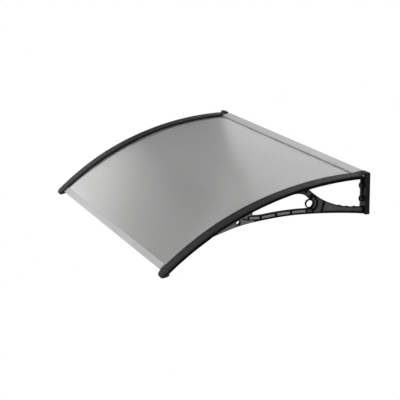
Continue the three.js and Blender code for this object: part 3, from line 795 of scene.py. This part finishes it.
def frame_outline():
    rear = -PLATE_THICKNESS / 2
    return (
        along(strut_under, -STRUT_REACH, STRUT_APEX[0], 24)
        + along(strut_under, STRUT_APEX[0], rear, 16)[1:]
        + along(lambda y: rail_height(y, FRAME_TOP), rear, -STRUT_REACH, 40)
    )


def brace_end():
    """Where the brace's upper edge runs into the arm."""
    low = BRACE_FLAT[0] - BRACE_RADIUS + 1
    high = BRACE_FLAT[0]
    for _ in range(50):
        middle = (low + high) / 2
        if brace_upper(middle) > arm_line(middle):
            low = middle
        else:
            high = middle
    return high


def rear_opening():
    rear = -PLATE_THICKNESS + OPENING_PLATE_LAP
    end = brace_end()
    return (
        [(rear, BRACE_FLAT[1])]
        + along(arm_line, rear, end, 20)
        + along(brace_edge, end, SCALLOP_END, 20)[1:]
        + along(brace_edge, SCALLOP_END, BRACE_FLAT[0], 44)[1:]
    )


def front_opening():
    """The opening in front of the ring, with the ring's own disc, which the ring then laps."""
    tip = (OPENING_TIP_Y + OPENING_TIP_ROUND, strut_upper(OPENING_TIP_Y) + OPENING_TIP_ROUND)
    corner_y = RING[0] - RING_CORNER_REACH
    start = Vector((corner_y, arm_line(corner_y)))
    bend = Vector((RING[0] + RING_CORNER_BEND[0], RING[1] + RING_CORNER_BEND[1]))
    end = Vector((RING[0], RING[1] + RING_OUTER))
    corner = bezier(start, bend, end, 12)[1:-1]
    return (
        arc(tip, OPENING_TIP_ROUND, 270, 180, 6)
        + along(arm_line, OPENING_TIP_Y, corner_y, 16)
        + corner
        + arc(RING, RING_OUTER - RING_LAP, 85, -100, 20)
        + along(strut_upper, RING[0] - RING_OUTER / 2, tip[0], 20)[:-1]
    )


def strut_cells(gap):
    """The hollows between the strut's cross ribs, with a gap left free at the front of each."""
    cells = []
    for front_rib, rear_rib in zip(CROSS_RIBS, CROSS_RIBS[1:]):
        front = front_rib + CROSS_RIB_WIDTH / 2 + gap
        rear = rear_rib - CROSS_RIB_WIDTH / 2
        cells.append(
            along(strut_sole, front, rear, 6)
            + along(lambda y: strut_upper(y) - STRUT_FLANGE, rear, front, 6)
        )
    return cells


def brace_inside(y):
    return brace_upper(y + BRACE_FLANGE) - BRACE_FLANGE


def beam_pocket():
    low, high = [y + JUNCTION_RIB_WIDTH / 2 for y in JUNCTION_RIB]
    rear = -PLATE_THICKNESS - FLANGE
    return (
        along(lambda y: strut_under(y) + BEAM_SOLE, low, rear, 10)
        + along(brace_inside, rear, high, 16)
    )


def junction_pocket():
    low, high = [y - JUNCTION_RIB_WIDTH / 2 for y in JUNCTION_RIB]
    rib = arc(RING, RING_RIB_OUTER, JUNCTION_FROM, JUNCTION_TO, 12)
    return (
        rib
        + along(brace_inside, rib[-1][0] + BRACE_FLANGE, high, 4)
        + along(lambda y: strut_under(y) + JUNCTION_SOLE, low, rib[0][0] + JUNCTION_SOLE, 4)
    )


def ring_pocket():
    return (
        arc(RING, RING_OUTER + RING_GAP, RING_RIB_TO, RING_RIB_FROM, 16)
        + arc(RING, RING_RIB_INNER, RING_RIB_FROM, RING_RIB_TO, 16)
    )


def neck_pocket():
    """The pocket between the front opening's corner and the brace, from the ring up to the arm."""
    start = Vector((RING[0] - RING_CORNER_REACH + 3 * FLANGE, 0))
    start.y = arm_line(start.x)
    bend = Vector((RING[0] + RING_CORNER_BEND[0] + FLANGE, RING[1] + RING_CORNER_BEND[1] + FLANGE / 2))
    end = Vector((RING[0] + FLANGE / 2, RING[1] + RING_OUTER + FLANGE))
    brace_top = brace_end() - 2 * BRACE_FLANGE
    brace_low = RING[0] + NECK_REACH
    return (
        bezier(start, bend, end, 10)
        + along(brace_inside, brace_low, brace_top, 8)
    )


def front_web():
    """The solid part of the frame about the eye, with a tail below the strut's first cell."""
    rib = CROSS_RIBS[0] - CROSS_RIB_WIDTH / 2
    tip = OPENING_TIP_Y - FLANGE
    return (
        along(lambda y: strut_under(y) + WEB_PROUD, WEB_FRONT, WEB_TAIL, 22)
        + along(lambda y: strut_sole(y) - FLANGE / 2, WEB_TAIL, rib, 6)
        + along(strut_upper, rib, tip, 4)
        + along(arm_line, tip, WEB_FRONT, 22)
    )


def bar_outline(start, end, width):
    """A straight rib between two points, with square ends."""
    start = Vector(start)
    end = Vector(end)
    side = (end - start).orthogonal().normalized() * width / 2
    return [tuple(start - side), tuple(end - side), tuple(end + side), tuple(start + side)]


def frame_shape():
    outer = FRAME_INSET
    inner = FRAME_INSET + FRAME_WIDTH
    web_outer = (outer + inner - WEB_THICKNESS) / 2
    web_inner = web_outer + WEB_THICKNESS
    eye = (EYE_Y, rail_height(EYE_Y, FLOOR_UNDER) - EYE_DROP)
    outline = frame_outline()
    openings = [rear_opening(), front_opening()]
    eye_seat = circle(eye, EYE_RADIUS + EYE_WALL / 2)
    pockets = [*strut_cells(0), beam_pocket(), junction_pocket(), ring_pocket(), neck_pocket()]
    panels = strut_cells(PANEL_GAP)[:-1]
    # Ribs, flanges and pocket walls in the darker plastic: painted shade in the frame's hollows
    shape = side_slab([outline, *openings, *pockets, eye_seat], outer, inner, RIB_EDGE, SMOOTH_PAINTED_SHADE)
    shape.add(
        # The recessed web in the mid-grey plastic: painted half light
        side_slab([outline, *openings, circle(eye, EYE_RADIUS)],
                  web_outer, web_inner, WEB_EDGE, PAINTED_HALF_LIGHT, WEB_LAP),
        # The strut's raised panels in the light grey plastic: painted sheen
        side_slab(panels, web_outer - PANEL_PROUD, web_inner + PANEL_PROUD, WEB_EDGE, GRAINED_PAINTED_SHEEN, -PANEL_LAP),
        # The solid web about the eye in the grey plastic: painted light
        side_slab([front_web(), eye_seat], outer - WEB_PROUD, inner + WEB_PROUD, WEB_EDGE, WEB_PAINTED_LIGHT),
        # The eye's ring and the ring in the darker plastic: painted shade
        side_slab([circle(eye, EYE_RADIUS + EYE_WALL), circle(eye, EYE_RADIUS)],
                  outer - EYE_PROUD, inner + EYE_PROUD, RIB_EDGE, SMOOTH_PAINTED_SHADE),
        side_slab([circle(RING, RING_OUTER), circle(RING, RING_INNER)],
                  outer - RING_PROUD, outer + RING_WIDTH, RIB_EDGE, SMOOTH_PAINTED_SHADE),
    )
    # The neck's and the web's small ribs in the darker plastic: painted shadow lines
    for first, second in NECK_RIBS:
        rib = bar_outline(first, second, NECK_RIB_WIDTH)
        shape.add(side_slab([rib], outer + WEB_PROUD, inner - WEB_PROUD, WEB_EDGE, SMOOTH_PAINTED_SHADE))
    for first, second in zip(WEB_RIB, WEB_RIB[1:]):
        rib = bar_outline(first, second, WEB_RIB_WIDTH)
        shape.add(side_slab([rib], outer - EYE_PROUD, inner + EYE_PROUD, WEB_EDGE, SMOOTH_PAINTED_SHADE))
    return shape


# Bracket

def plate_shape():
    left = HALF_WIDTH - PLATE_WIDTH
    middle = HALF_WIDTH - PLATE_WIDTH / 2
    holes = [circle((middle, -drop), BOLT_HOLE_RADIUS + CLEARANCE) for drop in BOLT_DROPS]
    panel_outline = rounded_rectangle(left, HALF_WIDTH, -PLATE_FOOT, PLATE_RISE, PLATE_CORNER)
    shape = slab([panel_outline, *holes], 0, PLATE_THICKNESS, PLATE_EDGE, OUTWARD)
    for drop in BOLT_DROPS:
        boss = [circle((middle, -drop), BOLT_BOSS_RADIUS), circle((middle, -drop), BOLT_HOLE_RADIUS)]
        shape.add(slab(boss, PLATE_THICKNESS / 2, PLATE_THICKNESS + BOLT_BOSS_HEIGHT, PLATE_EDGE, OUTWARD))
    # The bolt bosses' front faces take the mid-grey plastic: a painted highlight
    boss_front = -PLATE_THICKNESS - BOLT_BOSS_HEIGHT + CLEARANCE
    return shape.painted(PAINTED_HALF_LIGHT, lambda v: v.y < boss_front)


def head_shape():
    """The block behind the strip's end, whose roof is open at the side for the rear bar's screw."""
    rear = -PLATE_THICKNESS + HEAD_PLATE_LAP
    low = rail_height(-HEAD_DEPTH, FLOOR_TOP)
    front_top = rail_height(-HEAD_DEPTH, STRIP_RISE)

    def outline(front_low, rear_low, sunk=0):
        return [
            (rear, rear_low), (rear, HEAD_RISE - sunk),
            (-HEAD_DEPTH, front_top - sunk), (-HEAD_DEPTH, front_low),
        ]

    thickness = STRIP_RISE + STRIP_PLATE
    block = outline(low, low, HEAD_EDGE)
    roof = outline(front_top - thickness, HEAD_RISE - thickness)
    overhang = [*roof[2:], *arc(REAR_PORT, HEAD_POCKET_RADIUS, 210, 140, 6)]
    return side_slab([block], ARM_INSET - CLEARANCE, STRIP_WIDTH - CLEARANCE, HEAD_EDGE).add(
        side_slab([roof], ARM_INSET, STRIP_WIDTH, HEAD_EDGE),
        side_slab([overhang], CLEARANCE, ARM_INSET + HEAD_EDGE, HEAD_EDGE),
    )


def arm_skirt(s):
    """How far the arm's outer edge hangs below its floor: only in front of the frame."""
    first = length_at_depth(ARM_SKIRT_FROM)
    last = length_at_depth(ARM_SKIRT_TO)
    share = min(1, max(0, (s - first) / (last - first)))
    return ARM_SKIRT * share


def arm_section(s):
    inner = STRIP_WIDTH - ARM_FLOOR_MARGIN
    outer_wall = ARM_INSET + ARM_WALL
    foot = FLOOR_UNDER - arm_skirt(s)
    return [
        (ARM_INSET, ARM_TOP),
        (outer_wall, ARM_TOP),
        (outer_wall, FLOOR_TOP),
        (inner, FLOOR_TOP),
        (inner, FLOOR_UNDER - ARM_RIB_DROP),
        (inner - ARM_RIB, FLOOR_UNDER - ARM_RIB_DROP),
        (inner - ARM_RIB, FLOOR_UNDER),
        (outer_wall + ARM_CHAMFER, FLOOR_UNDER),
        (outer_wall, foot),
        (ARM_INSET + ARM_CHAMFER / 2, foot),
        (ARM_INSET, foot + ARM_CHAMFER / 2),
    ]


def arm_shape():
    stations = spread(length_at_depth(PLATE_THICKNESS - ARM_PLATE_LAP), BAR_OUTER, STRIP_STATIONS)
    # The whole arm takes the darker plastic: painted shade under the strip's overhang
    return loft([[place(u, s, v) for u, v in arm_section(s)] for s in stations], SMOOTH_PAINTED_SHADE)


def nose_section(rise=0):
    """Section of the nose under the strip, with its lower edge lifted by the rise."""
    inner = STRIP_WIDTH - NOSE_MARGIN
    foot = NOSE_MARGIN + NOSE_FOOT
    under = FLOOR_UNDER - NOSE_DROP + rise
    shoulder = ARM_TOP - NOSE_SHOULDER
    top = ARM_TOP - LAP
    return [
        (NOSE_MARGIN, top), (inner, top), (inner, shoulder), (STRIP_WIDTH - foot, under),
        (foot, under), (NOSE_MARGIN, shoulder),
    ]


def nose_shape():
    rear = SHEET_FRONT + 2 * CLEARANCE + NOSE_FOOT_START
    height = ARM_TOP - NOSE_SHOULDER - FLOOR_UNDER + NOSE_DROP
    rings = [[place(u, s, v) for u, v in nose_section()] for s in spread(rear, BAR_OUTER, 4)[:-1]]
    for s, share in nose_stations():
        rise = NOSE_RISE * height * (s - BAR_OUTER) / NOSE_LENGTH
        rings.append([place(narrowed(u, share), s, v) for u, v in nose_section(rise)])
    return loft(rings)


def bracket_shape():
    return frame_shape().add(plate_shape(), head_shape(), arm_shape(), nose_shape())


# Bars and seal

def bar_slab(loops, edge=BAR_EDGE):
    return slab(loops, -BAR_HALF_LENGTH, BAR_HALF_LENGTH, edge, ACROSS)


def front_bar_shape():
    wall = FRONT_BAR_WALL
    low = FLOOR_TOP - wall
    port = SHEET_FRONT + CLEARANCE
    r = FRONT_BAR_ROUND
    outline = (
        [(BAR_INNER, ARM_TOP)]
        + arc((BAR_OUTER - r, ARM_TOP - r), r, 90, 0, 5)
        + arc((BAR_OUTER - r, low + r), r, 0, -90, 5)
        + [
            (BAR_INNER + FRONT_BAR_FOOT, low),
            (BAR_INNER + FRONT_BAR_FOOT, FLOOR_TOP),
            (port, FLOOR_TOP),
            (port, ARM_TOP - wall),
            (BAR_INNER + wall, ARM_TOP - wall),
            (BAR_INNER + wall, SHEET_TOP + CLEARANCE),
            (BAR_INNER, SHEET_TOP + CLEARANCE),
        ]
    )
    port_circle = circle(rail_point(FRONT_PORT_S, FRONT_PORT_V), PORT_RADIUS, 16)
    return bar_slab([[rail_point(s, v) for s, v in outline], port_circle], FRONT_BAR_EDGE)


def rear_flange_top(y):
    return REAR_BAR_RISE + y * (REAR_BAR_RISE - REAR_BAR_LIP_RISE) / REAR_BAR_DEPTH


def rear_bar_shape():
    wall = REAR_BAR_WALL
    reach = PORT_RADIUS + REAR_PORT_WALL
    port_front = REAR_PORT[0] - reach
    port_rear = REAR_PORT[0] + reach
    port_under = REAR_PORT[1] - reach
    ledge = rail_height(-REAR_BAR_LEDGE, SHEET_UNDER) - CLEARANCE
    lip = -REAR_BAR_DEPTH
    lip_under = rear_flange_top(lip) - wall - REAR_LIP_DROP
    outline = [
        (0, REAR_BAR_RISE),
        (lip, rear_flange_top(lip)),
        (lip, lip_under),
        (lip + wall, lip_under),
        (lip + wall, rear_flange_top(lip + wall) - wall),
        (port_front, rear_flange_top(port_front) - wall),
        (port_front, port_under),
        (port_rear, port_under),
        (port_rear, rear_flange_top(port_rear) - wall),
        (-wall, rear_flange_top(-wall) - wall),
        (-wall, ledge),
        (-REAR_BAR_LEDGE, ledge),
        (-REAR_BAR_LEDGE, ledge - wall),
        (-wall, ledge - wall),
        (-wall, -REAR_BAR_FOOT),
        (0, -REAR_BAR_FOOT),
    ]
    return bar_slab([outline, circle(REAR_PORT, PORT_RADIUS, 16)])


def seal_shape():
    front = -REAR_BAR_DEPTH - SEAL_PROUD
    rear = front + SEAL_DEPTH

    def top(y):
        return rear_flange_top(y) - REAR_BAR_WALL - REAR_LIP_DROP - SEAL_EDGE

    def under(y):
        return rail_height(y, SHEET_TOP) + CLEARANCE

    middle = (top(front) + under(front)) / 2
    half = (top(front) - under(front)) / 2
    rounded_front = arc((front + half, middle), half, 90, 270, 8)
    return bar_slab([[*rounded_front, (rear, under(rear)), (rear, top(rear))]], SEAL_EDGE)


# Roof sheet

def ripple(s):
    """How far the skin has sunk in: most at the ribs between the flutes, not at all over their middles."""
    return RIPPLE * (1 + math.cos(2 * math.pi * (s - SHEET_REAR) / FLUTE_STEP)) / 2


def sheet_shape():
    stations = spread(SHEET_REAR, SHEET_FRONT, FLUTES * RIPPLE_STEPS)
    skin = [rail_point(s, SHEET_TOP - ripple(s)) for s in stations]
    skin += [rail_point(s, SHEET_UNDER + ripple(s)) for s in reversed(stations)]
    loops = [skin]
    flute_low = SHEET_UNDER + SHEET_SKIN
    flute_high = SHEET_TOP - SHEET_SKIN
    for i in range(FLUTES):
        start = SHEET_REAR + FLUTE_STEP * i + FLUTE_RIB / 2
        end = SHEET_REAR + FLUTE_STEP * (i + 1) - FLUTE_RIB / 2
        flute = rounded_rectangle(start, end, flute_low, flute_high, FLUTE_ROUND, 2)
        loops.append([rail_point(s, v) for s, v in flute])
    return slab(loops, -SHEET_HALF_WIDTH, SHEET_HALF_WIDTH, 0, ACROSS)


# Screws

def screw_shape(length):
    """A tapping screw with its head's seat at the origin, its point up the Z axis, and a cross recess."""
    half = SCREW_CROSS_HALF
    reach = SCREW_CROSS_REACH
    cross = [
        (reach, -half), (reach, half), (half, half), (half, reach), (-half, reach), (-half, half),
        (-reach, half), (-reach, -half), (-half, -half), (-half, -reach), (half, -reach), (half, -half),
    ]
    rim = circle((0, 0), SCREW_HEAD_RADIUS, 24)
    floor_level = -SCREW_HEAD_HEIGHT + SCREW_CROSS_DEPTH
    shape = slab([rim, cross], -SCREW_HEAD_HEIGHT, 0, SCREW_HEAD_EDGE, Matrix.Identity(4))
    floor_radius = SCREW_HEAD_RADIUS - SCREW_HEAD_RIM
    shape.add(lathe([(0, floor_level), (floor_radius, floor_level), (floor_radius, -LAP), (0, -LAP)]))
    profile = [(0, -SCREW_SHANK_LAP), (SCREW_CORE_RADIUS, -SCREW_SHANK_LAP)]
    turns = int((length - SCREW_POINT) / SCREW_PITCH)
    for i in range(turns):
        profile += [
            (SCREW_CORE_RADIUS, SCREW_PITCH * (i + 0.2)),
            (SCREW_RADIUS, SCREW_PITCH * (i + 0.5)),
            (SCREW_CORE_RADIUS, SCREW_PITCH * (i + 0.8)),
        ]
    profile += [
        (SCREW_CORE_RADIUS, length - SCREW_POINT),
        (SCREW_TIP_RADIUS, length - SCREW_TIP_LENGTH),
        (0, length),
    ]
    return shape.add(lathe(profile, 16))


def clamp_places():
    first = STRIP_REAR + CLAMP_SCREW_END_MARGIN
    last = BAR_INNER - CLAMP_SCREW_END_MARGIN
    return spread(first, last, CLAMP_SCREWS_PER_SIDE - 1)


def make_screws():
    long_screw = screw_shape(BAR_SCREW_LENGTH)
    short_screw = screw_shape(CLAMP_SCREW_LENGTH)
    seat_x = HALF_WIDTH - ARM_INSET + CLEARANCE
    inward = Matrix.Rotation(-math.pi / 2, 4, "Y")
    ports = {
        "front_bar_screw": rail_point(FRONT_PORT_S, FRONT_PORT_V),
        "rear_bar_screw": REAR_PORT,
    }
    placed = {}
    for name, (y, z) in ports.items():
        placed[name + "_{side}"] = long_screw.moved(Matrix.Translation((seat_x, y, z)) @ inward)
    for i, s in enumerate(clamp_places(), start=1):
        seat = place(CLAMP_SCREW_INSET, s, FLOOR_UNDER - CLEARANCE)
        tilt = Matrix.Rotation(rail_angle(s), 4, "X")
        placed["clamp_screw_{side}_" + str(i)] = short_screw.moved(Matrix.Translation(seat) @ tilt)
    for name, shape in placed.items():
        for side, sided in (("right", shape), ("left", shape.mirrored())):
            node = name.format(side=side)
            make_piece(node + "_turned", sided, [steel], "screw_steel", node)


# Assembly

def make_sides():
    bracket = bracket_shape()
    strip = strip_shape()
    for side in ("right", "left"):
        if side == "left":
            bracket = bracket.mirrored()
            strip = strip.mirrored()
        make_piece(
            "bracket_moulding_" + side, bracket, bracket_plastics, "black_plastic",
            "bracket_" + side,
        )
        make_piece(
            "strip_moulding_" + side, strip, bracket_plastics[:2], "black_plastic",
            "cover_strip_" + side,
        )


make_sides()
make_piece("front_bar_profile", front_bar_shape(), [aluminium], "bar_aluminium", "front_bar")
make_piece("rear_bar_profile", rear_bar_shape(), [aluminium], "bar_aluminium", "rear_bar")
make_piece("seal_profile", seal_shape(), [rubber], "seal_rubber", "sheet_seal")
make_piece("fluted_sheet", sheet_shape(), [smoked], "smoked_sheet", "roof_sheet")
make_screws()


# Stage, light and camera

def white_background(tree, lit_shader, output_socket):
    """Camera, mirror and see-through rays meet plain white; every other ray meets the lit shader."""
    rays = tree.nodes.new("ShaderNodeLightPath")
    seen = rays.outputs["Is Camera Ray"]
    for kind in ("Is Glossy Ray", "Is Transmission Ray"):
        larger = tree.nodes.new("ShaderNodeMath")
        larger.operation = "MAXIMUM"
        tree.links.new(seen, larger.inputs[0])
        tree.links.new(rays.outputs[kind], larger.inputs[1])
        seen = larger.outputs[0]
    white = tree.nodes.new("ShaderNodeEmission")
    white.inputs["Strength"].default_value = 1.0
    mix = tree.nodes.new("ShaderNodeMixShader")
    tree.links.new(seen, mix.inputs["Fac"])
    tree.links.new(lit_shader, mix.inputs[1])
    tree.links.new(white.outputs[0], mix.inputs[2])
    tree.links.new(mix.outputs[0], output_socket)


def make_floor():
    half = FLOOR_HALF_SIZE
    mesh = bpy.data.meshes.new("studio_floor")
    corners = [(-half, -half, FLOOR_LEVEL), (half, -half, FLOOR_LEVEL), (half, half, FLOOR_LEVEL),
               (-half, half, FLOOR_LEVEL)]
    mesh.from_pydata(corners, [], [(0, 1, 2, 3)])
    floor = bpy.data.objects.new("studio_floor", mesh)
    bpy.context.scene.collection.objects.link(floor)
    material = bpy.data.materials.new("studio_floor")
    material.use_nodes = True
    tree = material.node_tree
    shader = tree.nodes["Principled BSDF"]
    shader.inputs["Base Color"].default_value = (0.85, 0.85, 0.85, 1)
    shader.inputs["Roughness"].default_value = 0.9
    white_background(tree, shader.outputs[0], tree.nodes["Material Output"].inputs["Surface"])
    mesh.materials.append(material)


def make_world(strength):
    world = bpy.data.worlds.new("studio")
    bpy.context.scene.world = world
    world.use_nodes = True
    tree = world.node_tree
    ambient = tree.nodes["Background"]
    ambient.inputs["Strength"].default_value = strength
    ambient.inputs["Color"].default_value = (1, 1, 1, 1)
    white_background(tree, ambient.outputs[0], tree.nodes["World Output"].inputs["Surface"])


def make_lamp(name, location, target, size, power):
    """A soft lamp that reflections don't show."""
    lamp = bpy.data.lights.new(name, "AREA")
    lamp.size = size
    lamp.energy = power
    holder = bpy.data.objects.new(name, lamp)
    bpy.context.scene.collection.objects.link(holder)
    holder.location = location
    holder.rotation_euler = (Vector(target) - Vector(location)).to_track_quat("-Z", "Y").to_euler()
    holder.visible_glossy = False


def make_camera():
    camera = bpy.data.cameras.new("camera")
    camera.sensor_fit = "HORIZONTAL"
    camera.sensor_width = SENSOR_WIDTH
    camera.lens = CAMERA_FOCAL_PIXELS / PHOTO_PIXELS * SENSOR_WIDTH
    camera.clip_end = CAMERA_FAR_CLIP
    holder = bpy.data.objects.new("camera", camera)
    bpy.context.scene.collection.objects.link(holder)
    holder.location = CAMERA_PLACE
    holder.rotation_euler = CAMERA_LOOK.to_track_quat("-Z", "Y").to_euler()
    bpy.context.scene.camera = holder


def glow_rows():
    """Rows of (Y, Z, brightness) up the card's bright field: full at its foot, dark at the upper seam."""
    rows = [[(y, GLOW_FOOT, GLOW_BRIGHT) for y, _ in GLOW_FULL_EDGE]]
    for share in spread(0, 1, GLOW_ROWS):
        brightness = GLOW_BRIGHT + (GLOW_DARK - GLOW_BRIGHT) * share ** 2 * (3 - 2 * share)
        edges = zip(GLOW_FULL_EDGE, GLOW_DARK_EDGE)
        rows.append([(y, full + (dark - full) * share, brightness) for (y, full), (_, dark) in edges])
    seam = CARD_UPPER_SEAM[0][1]
    rows.append([(y, seam, GLOW_DARK) for y, _ in GLOW_DARK_EDGE])
    return rows


def make_card():
    """A card at the left with dark and light fields, which only mirror reflections meet."""
    spots = []
    faces = []
    for brightness, outline in CARD_FIELDS:
        faces.append(tuple(range(len(spots), len(spots) + len(outline))))
        spots += [(y, z, brightness) for y, z in outline]
    start = len(spots)
    rows = glow_rows()
    columns = len(rows[0])
    for row in rows:
        spots += row
    for row in range(len(rows) - 1):
        for column in range(columns - 1):
            i = start + row * columns + column
            faces.append((i, i + 1, i + 1 + columns, i + columns))
    mesh = bpy.data.meshes.new("studio_card")
    mesh.from_pydata([(CARD_X, y, z) for y, z, _ in spots], [], faces)
    mesh.attributes.new("brightness", "FLOAT", "POINT").data.foreach_set("value", [b for _, _, b in spots])
    material = bpy.data.materials.new("studio_card")
    material.use_nodes = True
    tree = material.node_tree
    level = tree.nodes.new("ShaderNodeAttribute")
    level.attribute_name = "brightness"
    shader = tree.nodes["Principled BSDF"]
    shader.inputs["Base Color"].default_value = (0, 0, 0, 1)
    shader.inputs["Specular IOR Level"].default_value = 0.0
    shader.inputs["Emission Color"].default_value = (1, 1, 1, 1)
    tree.links.new(level.outputs["Fac"], shader.inputs["Emission Strength"])
    mesh.materials.append(material)
    card = bpy.data.objects.new("studio_card", mesh)
    bpy.context.scene.collection.objects.link(card)
    for kind in ("camera", "diffuse", "transmission", "shadow"):
        setattr(card, "visible_" + kind, False)


make_floor()
make_card()
make_world(strength=0.7)
make_lamp("top_lamp", location=(0.5, -2.3, 2.9), target=(0, -0.4, -0.15), size=2.5, power=95)
make_lamp("left_lamp", location=(-3.3, -1.3, 0.45), target=(-0.3, -0.4, -0.1), size=1.2, power=6)
make_camera()
bpy.context.scene.view_settings.view_transform = "Standard"
